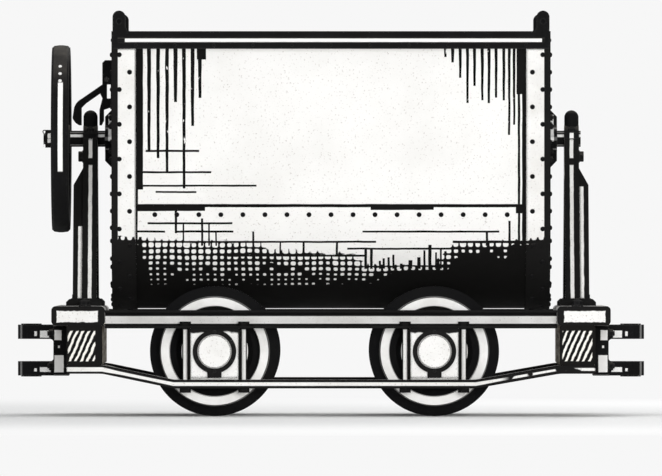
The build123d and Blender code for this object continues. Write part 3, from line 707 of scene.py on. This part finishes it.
# %% Painted highlights
wheel_rim_low, wheel_rim_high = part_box("hand_wheel_rim")
hand_x = (wheel_rim_low.x + wheel_rim_high.x) / 2
hand_r = (wheel_rim_high.z - wheel_rim_low.z) / 2
trunnion_z = (wheel_rim_high.z + wheel_rim_low.z) / 2
rim_flat_y = 0.448
bead_z = rim_bottom_z + 0.0285
bead_mid_x, bead_half = 0.009, 0.769
print("hand wheel's radius", round(hand_r, 3), "trunnions at", round(trunnion_z, 3))


def rim_painted_highlight(tree):
    """A painted highlight: a pale band along the middle of the rim's outer face, at a span of heights on
    both sides.
    """
    x, y, z = place_of(tree)
    off, up = abs(x - (hand_x + 0.002)), z - trunnion_z
    outer = distance(y, up).step(hand_r - 0.010, hand_r - 0.004)
    highlit_span = up.step(-0.126, -0.120) * up.step(0.210, 0.202)
    patchy = noise(tree, 9.0, 3.0).step(0.30, 0.5, 0.85, 1.0)
    return off.step(0.0100, 0.0080) * outer * highlit_span * patchy


def bead_painted_highlight(tree):
    """A painted highlight on the bead's crown between the lifting lugs, which stands out from the rim
    bar.
    """
    x, y, z = place_of(tree)
    proud = abs(y).step(rim_flat_y + 0.0002, rim_flat_y + 0.0008)
    level = abs(z - bead_z).step(0.0095, 0.0085)
    patchy = noise(tree, 11.0, 3.0).step(0.25, 0.42, 0.9, 1.0)
    return proud * level * patchy * x.near(bead_mid_x, bead_half)


# %% [markdown]
# The stands are black with narrow strips of pale paint down the leg and its rib. The couplings
# have a few pale marks and painted highlights, the trunnions' bosses and the rear bearing cap
# carry painted highlights, and the cap beams and the hand wheel's nut bare borders. A painted
# picture for each would be long to lay out, so each mask is measured from its own solid.

# %% Stands and bearing caps
bearing_low, bearing_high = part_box("bearing_cap_rear")
foot_thick = 0.025
foot_top_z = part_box("stand_rear")[0].z + foot_thick
# Dark patches on the stands' ribs; on the front rib, the painted shadow of the hand wheel. Columns: X
# from and to, Z from and to
rib_dark_places = metres((-960, -919, 703, 930), (919, 960, 850, 930))
print("stands' feet end at", round(foot_top_z, 3))


def stand_shade(tree):
    """Dark edges of the leg and its rib, a dark joint, a dark foot, and dark patches on the ribs, the
    front one the painted shadow of the hand wheel.
    """
    x, _, z = place_of(tree)
    out = wander(tree, 26.0, 4.0) * 0.004 + (abs(x) - bearing_low.x)
    inner = out.step(0.0205, 0.0185)
    middle = out.step(0.0320, 0.0340) * out.step(0.0560, 0.0540)
    outer = out.step(0.0690, 0.0710)
    joint = z.step(0.927, 0.931) * z.step(0.957, 0.953)
    shade = highest(inner, middle, outer, joint, marks_mask(tree, rib_dark_places))
    return highest(shade * looks_across(tree), z.step(foot_top_z + 0.006, foot_top_z + 0.001))


def cap_painted_highlight(tree):
    """A painted highlight: a pale strip in the joint of the rear bearing, in line with the leg's."""
    strip = marks_mask(tree, ((bearing_low.x + 0.0205, bearing_low.x + 0.0330, 1.029, 1.066),))
    return strip * looks_across(tree)


# %% Borders, pale marks and painted highlights
cap_low, cap_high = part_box("cap_beam_rear")
coupler_low, coupler_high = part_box("coupler_rear")
nut_low, nut_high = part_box("hand_wheel_nut")
# Pale marks on the coupling plates, and painted highlights on the jaws. Columns: X from and to, Z from
# and to
coupler_marks_and_highlights = metres(
    (1000, 1026, 279, 316), (992, 1026, 160, 223), (1006, 1013, 250, 259), (1041, 1081, 288, 314),
    (1093, 1102, 294, 311), (1041, 1081, 161, 178), (1093, 1102, 163, 174),
)
# Painted highlights on the trunnions' bosses and shafts. Columns: X from and to, Z from and to
boss_painted_highlights = metres(
    (812.5, 827.5, 1018, 1116), (841, 866, 1033, 1043), (922, 969, 1033, 1043),
)


def cap_border(tree):
    """Bare borders round the ends of the cap beams."""
    return bordered(tree, cap_low.x + 0.026, cap_high.x - 0.020, cap_low.z + 0.012, cap_high.z - 0.018)[0]


def nut_border(tree):
    """Bare borders on the flats of the hand wheel's nut."""
    low_x, high_x = -nut_high.x + 0.004, -nut_low.x - 0.009
    return bordered(tree, low_x, high_x, nut_low.z + 0.018, nut_high.z - 0.014)[0]


def painted(marks):
    """A mask of pale marks and painted highlights, for a finish."""
    def mask(tree):
        patches = [bordered(tree, *limits, chips=0.003) for limits in marks]
        return highest(*[(1.0 - bare) * facing for bare, facing in patches])
    return mask


# %% [markdown]
# Now each solid gets its finish. Naming one for every solid would be long, so a table pairs the
# start of their names with a finish, and the first pair that fits is used.

# %% Dress the solids
finishes = [
    ("tub_side", tub_plate("tub side plate")),
    ("tub_", tub_plate("tub plate", streaked=False)),
    ("corner_angle", pale_iron("corner angle", edge=0.004, dusty=0.2, dark=angle_band)),
    ("rim_bar", black_iron("rim bar", bright=bead_painted_highlight)),
    ("trunnion", black_iron("trunnion", bright=painted(boss_painted_highlights))),
    ("axle", turned_steel("axle steel")),
    ("hand_wheel_rim", black_iron("hand wheel rim", bright=rim_painted_highlight)),
    ("hand_wheel_nut", pale_iron("hand wheel nut", edge=0.002, dusty=0.2, dark=nut_border)),
    ("hand_wheel", black_iron("hand wheel spider")),
    ("latch", black_iron("latch")),
    ("side_rail", pale_iron("side rail", edge=0.002, dusty=0.0, dark=rail_lips_and_shade, paint=fresh_paint_and_highlight)),
    ("arch_bar", pale_iron("arch bar", edge=0.003, dusty=0.2, dark=arch_edges)),
    ("cap_beam", pale_iron("cap beam", edge=0.004, dark=cap_border)),
    ("box_covers", pale_iron("box cover", edge=0.003, dark=cover_ring)),
    ("journal_box", pale_iron("journal box", edge=0.005, dark=box_painted_shadow)),
    ("column_bolts", pale_iron("column bolt", edge=0.001, dark=bolt_shade)),
    ("stand", pale_iron("stand casting", edge=0.005, dark=stand_shade)),
    ("bearing_cap", black_iron("bearing cap", bright=cap_painted_highlight)),
    ("coupler", black_iron("coupler casting", bright=painted(coupler_marks_and_highlights))),
    ("wheel", wheel_iron("wheel casting")),
    ("end_sill", oak("sill oak")),
]
for name, node in nodes.items():
    finish = next(material for start, material in finishes if name.startswith(start))
    if not node.data.materials:
        node.data.materials.append(None)
    for slot in node.material_slots:
        slot.material = finish
print(len(nodes), "solids dressed in", len(finishes), "finishes")

# %% [markdown]
# ## Fasteners
# Riveted work looks right by its fasteners: some four hundred rivet heads on the tub, and nuts on
# the frame. Each could be an object of its own, but that makes a long list. So each kind is
# modelled once as a small closed mesh and stamped where it is needed, and a row is one object.


# %% Helpers for small parts
def make_mesh(name, bm):
    """Turn a finished bmesh into a mesh."""
    mesh = bpy.data.meshes.new(name)
    bm.to_mesh(mesh)
    bm.free()
    return mesh


def only(kind, items):
    """The vertices or the edges among what an operator gives back."""
    return [item for item in items if isinstance(item, kind)]


def stamp(bm, mesh, place, normal, turn=0.0):
    """Add a copy of a small part at a place, its Z along the normal."""
    first = len(bm.verts)
    bm.from_mesh(mesh)
    bm.verts.ensure_lookup_table()
    aim = Vector(normal).to_track_quat("Z", "Y").to_matrix().to_4x4()
    matrix = Matrix.Translation(place) @ aim @ Matrix.Rotation(turn, 4, "Z")
    bmesh.ops.transform(bm, matrix=matrix, verts=bm.verts[first:])


def place_piece(name, bm, body, material):
    """Make an object of a finished mesh, and say what it rides on."""
    crease = radians(38)
    mesh = make_mesh(name, bm)
    mesh.shade_smooth()
    mesh.set_sharp_from_angle(angle=crease)
    mesh.materials.append(material)
    piece = add_object(name, mesh)
    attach(piece, body)
    print(name, len(mesh.polygons), "faces")


# %% [markdown]
# A rivet head is a low dome. It could be spun from a profile, but a ball is quicker: it is
# flattened, and cut off just under the plate's surface, where a last face closes it.


# %% A rivet head
def rivet_head(radius, flatten=0.72):
    """A dome on the XY plane, sunk a little into it."""
    sink = 0.0006
    bm = bmesh.new()
    bmesh.ops.create_uvsphere(bm, u_segments=12, v_segments=8, radius=radius)
    bmesh.ops.scale(bm, vec=(1, 1, flatten), verts=bm.verts)
    whole = bm.verts[:] + bm.edges[:] + bm.faces[:]
    cut = bmesh.ops.bisect_plane(bm, geom=whole, plane_co=(0, 0, -sink), plane_no=(0, 0, 1),
                                 clear_inner=True)
    bmesh.ops.edgeloop_fill(bm, edges=only(BMEdge, cut["geom_cut"]))
    bmesh.ops.recalc_face_normals(bm, faces=bm.faces)
    return make_mesh("rivet head", bm)


plate_rivet = rivet_head(0.0092)
rivet_tail = rivet_head(0.0085, flatten=0.35)
rim_rivet = rivet_head(0.0070, flatten=0.6)
print("a rivet head has", len(plate_rivet.polygons), "faces")

# %% [markdown]
# A nut is a six sided prism on a washer, with the end of its bolt standing out. A boolean of the
# three would gain nothing that shows, so they only overlap a little, with no two faces in one
# plane.


# %% A nut on its bolt
def nut_on_bolt(across, high, washer, bolt_r, bolt_out):
    """A washer, a nut and the bolt's end, standing on the XY plane."""
    bm = bmesh.new()
    # Columns: sides, radius, bottom, top, bevel on the top edge
    parts = (
        (20, across * 0.68, -0.0004, washer, 0.0004),
        (6, across / 3 ** 0.5, washer - 0.0002, washer + high, across * 0.055),
        (14, bolt_r, washer, washer + high + bolt_out, bolt_r * 0.2),
    )
    for sides, radius, bottom, top, turned_off in parts:
        made = bmesh.ops.create_cone(bm, cap_ends=True, segments=sides, radius1=radius, radius2=radius,
                                     depth=top - bottom)
        bmesh.ops.translate(bm, vec=(0, 0, (top + bottom) / 2), verts=made["verts"])
        upper = [vert for vert in made["verts"] if vert.co.z > (top + bottom) / 2]
        ring = {edge for vert in upper for edge in vert.link_edges if edge.other_vert(vert) in upper}
        bmesh.ops.bevel(bm, geom=list(ring), offset=turned_off, affect="EDGES", segments=2, profile=0.5,
                        material=-1)
    bmesh.ops.recalc_face_normals(bm, faces=bm.faces)
    return make_mesh("nut", bm)


frame_nut = nut_on_bolt(0.032, 0.016, 0.004, 0.0100, 0.007)
foot_nut = nut_on_bolt(0.028, 0.014, 0.003, 0.0090, 0.006)
cap_nut = nut_on_bolt(0.023, 0.014, 0.003, 0.0075, 0.006)
head_bolt = nut_on_bolt(0.034, 0.015, 0.003, 0.0040, 0.0)
flange_bolt = nut_on_bolt(0.021, 0.009, 0.002, 0.0060, 0.003)
cover_screw = nut_on_bolt(0.0115, 0.005, 0.001, 0.0020, 0.0)
print("a nut has", len(frame_nut.polygons), "faces")

# %% [markdown]
# The rivets of the corner angles follow the U of the tub. An array along a curve would place the
# heads, but the tails inside need the same places. So a point on the U is found from how far it
# lies along the plate.

# %% Along the tub's section
straight_run = rim_bottom_z - corner_z
quarter_run = corner_r * pi / 2
whole_run = 2 * (straight_run + quarter_run + flat_half)
lap_run = straight_run + 0.078
plate_in, lapped_plates_in = -0.008, -0.014
print("once round the tub is", round(whole_run, 3), "m")


def on_section(run, out):
    """Y, Z and the outward way at a length along the U, out metres beyond the trough."""
    if run > whole_run / 2:
        y, z, out_y, out_z = on_section(whole_run - run, out)
        return -y, z, -out_y, out_z
    if run < straight_run:
        return -tub_half_wide - out, rim_bottom_z - run, -1.0, 0.0
    turn = min((run - straight_run) / corner_r, pi / 2)
    past = max(run - straight_run - quarter_run, 0.0)
    reach = corner_r + out
    return -flat_half - reach * cos(turn) + past, corner_z - reach * sin(turn), -cos(turn), -sin(turn)


def stamp_round(bm, part, x, run, out, way=1):
    """Stamp a part on the U. It looks outwards, or inwards with way -1."""
    y, z, out_y, out_z = on_section(run, out)
    stamp(bm, part, (x, y, z), (0, way * out_y, way * out_z))


def inner_face(run):
    """How far inside the trough's outer face the tails sit."""
    return lapped_plates_in if run < lap_run or run > whole_run - lap_run else plate_in


# %% Corner rivets
angle_thick = angle_high.y - tub_half_wide
first_rivet = 0.022
rivet_count = 19
rivet_pitch = (whole_run - 2 * first_rivet) / rivet_count
end_plate_in_x = 0.795
# Columns: share of the pitch to start at, X on the flange, depth on the leg
rivet_rows = ((0.0, 0.781, -0.015), (0.5, 0.743, -0.044))
dark_rivet = black_iron("rivet", edge=0.002, dusty=0.2)
dull_rivet = turned_steel("rivet tail")
for end, side in (("front", -1), ("rear", 1)):
    heads, tails = bmesh.new(), bmesh.new()
    for share, row_x, depth in rivet_rows:
        for step in range(rivet_count + 1 - int(2 * share)):
            run = first_rivet + (step + share) * rivet_pitch
            stamp_round(heads, plate_rivet, side * row_x, run, angle_thick)
            stamp_round(tails, rivet_tail, side * row_x, run, inner_face(run), -1)
            y, z = on_section(run, depth)[:2]
            stamp(heads, plate_rivet, (side * tub_end_x, y, z), (side, 0, 0))
            stamp(tails, rivet_tail, (side * end_plate_in_x, y, z), (-side, 0, 0))
    place_piece("corner_rivets_" + end, heads, "tub", dark_rivet)
    place_piece("corner_tails_" + end, tails, "tub", dull_rivet)

# %% [markdown]
# One straight row of seventeen closes the lap where the side plates go down inside the trough,
# and the rim bar has its own, smaller row under its bead. Straight rows need only even steps.


# %% Seam and rim rivets
def evenly(half, count):
    """Even steps from -half to half."""
    return [half * (2 * step / (count - 1) - 1) for step in range(count)]


seam_places = evenly(0.650, 17)
rim_places = evenly(0.72, 11)
seam_rivet_z = 0.744
seam_run = straight_run + (corner_z - seam_rivet_z)
rim_rivet_z = rim_bottom_z + 0.0135
end_rim_rivet_z = rim_bottom_z + 0.0325
side_plate_in_y = 0.426
for side, direction, run in (("near", -1, seam_run), ("far", 1, whole_run - seam_run)):
    heads, tails = bmesh.new(), bmesh.new()
    for x in seam_places:
        stamp_round(heads, plate_rivet, x, run, 0.0)
        stamp_round(tails, rivet_tail, x, run, inner_face(run), -1)
    for x in rim_places:
        stamp(tails, rivet_tail, (x, direction * side_plate_in_y, rim_rivet_z), (0, -direction, 0))
    place_piece("seam_rivets_" + side, heads, "tub", dark_rivet)
    place_piece("side_tails_" + side, tails, "tub", dull_rivet)

rim_heads = bmesh.new()
for x in rim_places:
    for direction in (-1, 1):
        stamp(rim_heads, rim_rivet, (x, direction * rim_flat_y, rim_rivet_z), (0, direction, 0))
for y in evenly(0.36, 6):
    for side in (-1, 1):
        stamp(rim_heads, rim_rivet, (side * tub_end_x, y, end_rim_rivet_z), (side, 0, 0))
place_piece("rim_rivets", rim_heads, "tub", dark_rivet)

# %% [markdown]
# Each trunnion has eight bolts, two between each pair of ribs, and the latch hangs on a pin with
# a flat head at both ends. The same nut and dome serve again, only smaller.

# %% Bolts of the trunnions
bolts = bmesh.new()
flange_face_x = 0.813
bolt_ring_r = 0.091
for side in (-1, 1):
    for quarter in range(4):
        for part in (1, 2):
            turn = pi / 2 * quarter + pi / 6 * part
            place = (side * flange_face_x, bolt_ring_r * cos(turn), trunnion_z + bolt_ring_r * sin(turn))
            stamp(bolts, flange_bolt, place, (side, 0, 0), turn)
nut_iron = black_iron("nut iron")
place_piece("trunnion_bolts", bolts, "tub", nut_iron)

# %% Latch pin
bracket_low, bracket_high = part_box("latch_bracket")
pin_place_x = bracket_low.x + 0.016
pin_place_z = bracket_high.z - 0.072
pin = bmesh.new()
pin_head = rivet_head(0.0105, flatten=0.55)
for side_y, direction in ((bracket_low.y, -1), (bracket_high.y, 1)):
    stamp(pin, pin_head, (pin_place_x, side_y, pin_place_z), (0, direction, 0))
place_piece("latch_pin", pin, "tub", dull_rivet)


# %% [markdown]
# A split pin keeps the hand wheel's nut from backing off. It is one wire bent round into an eye,
# with its two legs spread. A bevelled curve would do, but has to be made a mesh. Here a small
# circle is spun most of the way round, and its open ends are extruded into the legs.


# %% Split pin
def split_pin(place, along, leg):
    """An eye whose two legs run along a direction."""
    wire_r, eye_r, opening = 0.0019, 0.0058, radians(50)
    bm = bmesh.new()
    start = bmesh.ops.create_circle(bm, segments=8, radius=wire_r)["verts"]
    bmesh.ops.rotate(bm, verts=start, matrix=Matrix.Rotation(pi / 2, 3, "X"))
    bmesh.ops.translate(bm, verts=start, vec=(eye_r, 0, 0))
    bmesh.ops.rotate(bm, verts=start, matrix=Matrix.Rotation(-pi / 2 + opening / 2, 3, "Z"))
    first_ring = list({edge for vert in start for edge in vert.link_edges})
    swept = bmesh.ops.spin(bm, geom=first_ring, axis=(0, 0, 1), angle=2 * pi - opening, steps=14)
    for ring, spread in ((first_ring, 1), (only(BMEdge, swept["geom_last"]), -1)):
        for reach, apart in ((leg * 0.8, 0.0), (leg * 0.2, 0.004)):
            pulled = bmesh.ops.extrude_edge_only(bm, edges=ring)["geom"]
            moved = only(BMVert, pulled)
            bmesh.ops.translate(bm, verts=moved, vec=(spread * apart, -reach, 0))
            ring = [edge for edge in only(BMEdge, pulled) if all(vert in moved for vert in edge.verts)]
        bmesh.ops.edgeloop_fill(bm, edges=ring)
    bmesh.ops.recalc_face_normals(bm, faces=bm.faces)
    aim = Vector(along).to_track_quat("-Y", "Z").to_matrix().to_4x4()
    bmesh.ops.transform(bm, matrix=Matrix.Translation(place) @ aim, verts=bm.verts)
    return bm


pin_x = (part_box("trunnion_front")[0].x + nut_low.x) / 2
pin_bm = split_pin((pin_x, 0, trunnion_z + 0.026), (0, 0, -1), leg=0.054)
place_piece("hand_wheel_split_pin", pin_bm, "tub", dull_rivet)

# %% [markdown]
# The hand wheel's rim is riveted where its bent bar was joined: three pale heads on each side.
# Their places are angles, so that they stand square on the round rim.

# %% Rivets of the hand wheel's joints
joint_rivets = bmesh.new()
bright_rivet = pale_iron("bright rivet", edge=0.001, dusty=0.0)
for across in (-1, 1):
    for lift in (37.6, 43.4, 50.0):
        turn = radians(lift)
        out_y, out_z = across * cos(turn), sin(turn)
        place = (hand_x, hand_r * out_y, trunnion_z + hand_r * out_z)
        stamp(joint_rivets, rim_rivet, place, (0, out_y, out_z))
place_piece("hand_wheel_rivets", joint_rivets, "tub", bright_rivet)

# %% [markdown]
# Everything on the frame is bolted: feet, caps, cap beams and couplers, with small screws round
# each box cover. The ends and sides are alike, so one table of the rear end's bolts serves four
# corners.

# %% Bolts of the frame
stand_mid_x = (bearing_low.x + bearing_high.x) / 2
sill_mid_x = (sill_low.x + sill_high.x) / 2
frame_bolt_y, outer_bolt_y = 0.352, 0.500
foot_bolt_y, coupler_bolt_y = 0.185, 0.105
# Columns: part, place at the rear on the far side, its way along X and Z, turn
frame_bolts = (
    (foot_nut, (stand_mid_x - 0.012, foot_bolt_y, foot_top_z), 0, 1, 0.3),
    (foot_nut, (stand_mid_x + 0.050, foot_bolt_y, foot_top_z), 0, 1, 0.3),
    (cap_nut, (stand_mid_x, 0.0625, trunnion_z + 0.022), 0, 1, 0.5),
    (head_bolt, (bearing_high.x, 0.040, trunnion_z - 0.066), 1, 0, 0.2),
    (frame_nut, (sill_mid_x, frame_bolt_y, cap_high.z), 0, 1, 0.4),
    (frame_nut, (sill_mid_x, outer_bolt_y, cap_high.z), 0, 1, 0.4),
    (frame_nut, (sill_mid_x, frame_bolt_y, sill_low.z), 0, -1, 0.4),
    (foot_nut, (cap_high.x, coupler_bolt_y, coupler_low.z + 0.040), 1, 0, 0.1),
    (foot_nut, (cap_high.x, coupler_bolt_y, coupler_high.z - 0.036), 1, 0, 0.1),
)
for end, side in (("front", -1), ("rear", 1)):
    bolts = bmesh.new()
    for across in (-1, 1):
        for part, (x, y, z), out, up, turn in frame_bolts:
            stamp(bolts, part, (side * x, across * y, z), (side * out, 0, up), turn)
    place_piece("frame_bolts_" + end, bolts, "root", nut_iron)

# %% Screws of the box covers
cover_face_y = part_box("box_covers_near")[0].y + 0.010
screw_ring_r = 0.072
screws = bmesh.new()
for across in (-1, 1):
    for axle_x in (front_axle_x, rear_axle_x):
        for step in range(6):
            turn = pi / 3 * step
            x, z = axle_x + screw_ring_r * sin(turn), axle_z + screw_ring_r * cos(turn)
            stamp(screws, cover_screw, (x, -across * cover_face_y, z), (0, across, 0), turn)
place_piece("cover_screws", screws, "root", nut_iron)

# %% [markdown]
# The floor is a wide pale disc that carries the shadow. To the camera it fades to white far off,
# so that no horizon cuts the picture, and from below it is clear, to show the underside. The
# world is white to the camera too, and a soft light for the cart.

# %% Floor
floor_r = 200.0
floor_bm = bmesh.new()
bmesh.ops.create_circle(floor_bm, cap_ends=True, segments=96, radius=floor_r)
floor_mesh = make_mesh("floor", floor_bm)
floor = add_object("floor", floor_mesh)

white, white_strength = (1, 1, 1, 1), 0.93
floor_material = bpy.data.materials.new("pale floor")
floor_material.use_nodes = True
tree = floor_material.node_tree
shader = tree.nodes["Principled BSDF"]
fill(tree, shader, Base_Color=(0.86, 0.86, 0.85, 1), Roughness=0.9)
x, y, _ = place_of(tree)
far = distance(x, y).step(1.6, 6.0)
seen = far * put(tree, "LightPath")["Is Camera Ray"]
glow = put(tree, "Emission", Color=white, Strength=white_strength)[0]
above = put(tree, "MixShader", s0=seen, s1=shader.outputs[0], s2=glow)[0]
under = put(tree, "NewGeometry")["Backfacing"]
both = put(tree, "MixShader", s0=under, s1=above, s2=put(tree, "BsdfTransparent")[0])[0]
fill(tree, tree.nodes["Material Output"], Surface=both)
floor_mesh.materials.append(floor_material)

# %% World
world = bpy.data.worlds.new("studio")
world.use_nodes = True
tree = world.node_tree
ground = tree.nodes["Background"]
fill(tree, ground, Color=(0.95, 0.97, 1.0, 1), Strength=0.33)
plain = put(tree, "LightPath")["Is Camera Ray"]
backdrop = put(tree, "Background", Color=white, Strength=white_strength)[0]
mixed = put(tree, "MixShader", s0=plain, s1=ground.outputs[0], s2=backdrop)[0]
fill(tree, tree.nodes["World Output"], Surface=mixed)
bpy.context.scene.world = world

# %% [markdown]
# The lamps are large and soft. One high key lamp would be usual, but the side rails are deep
# channels and only level light reaches their webs, so the strongest lamp stands low in front.

# %% Lamps
# Columns: name, place, size in metres, power in watts
lamps = (
    ("key", (-3.2, -6.5, 4.6), 3.0, 100.0),
    ("fill", (1.2, -7.5, 0.9), 2.2, 310.0),
    ("top", (0.0, 0.0, 6.0), 4.0, 140.0),
    ("back", (2.5, 6.8, 3.4), 3.5, 270.0),
)
aim = Vector((0, 0, 0.7))
for name, where, size, power in lamps:
    lamp = bpy.data.lights.new(name, "AREA")
    lamp.shape = "SQUARE"
    lamp.size = size
    lamp.energy = power
    holder = add_object(name, lamp)
    holder.location = where
    holder.rotation_euler = (aim - Vector(where)).to_track_quat("-Z", "Y").to_euler()
print(len(lamps), "lamps")
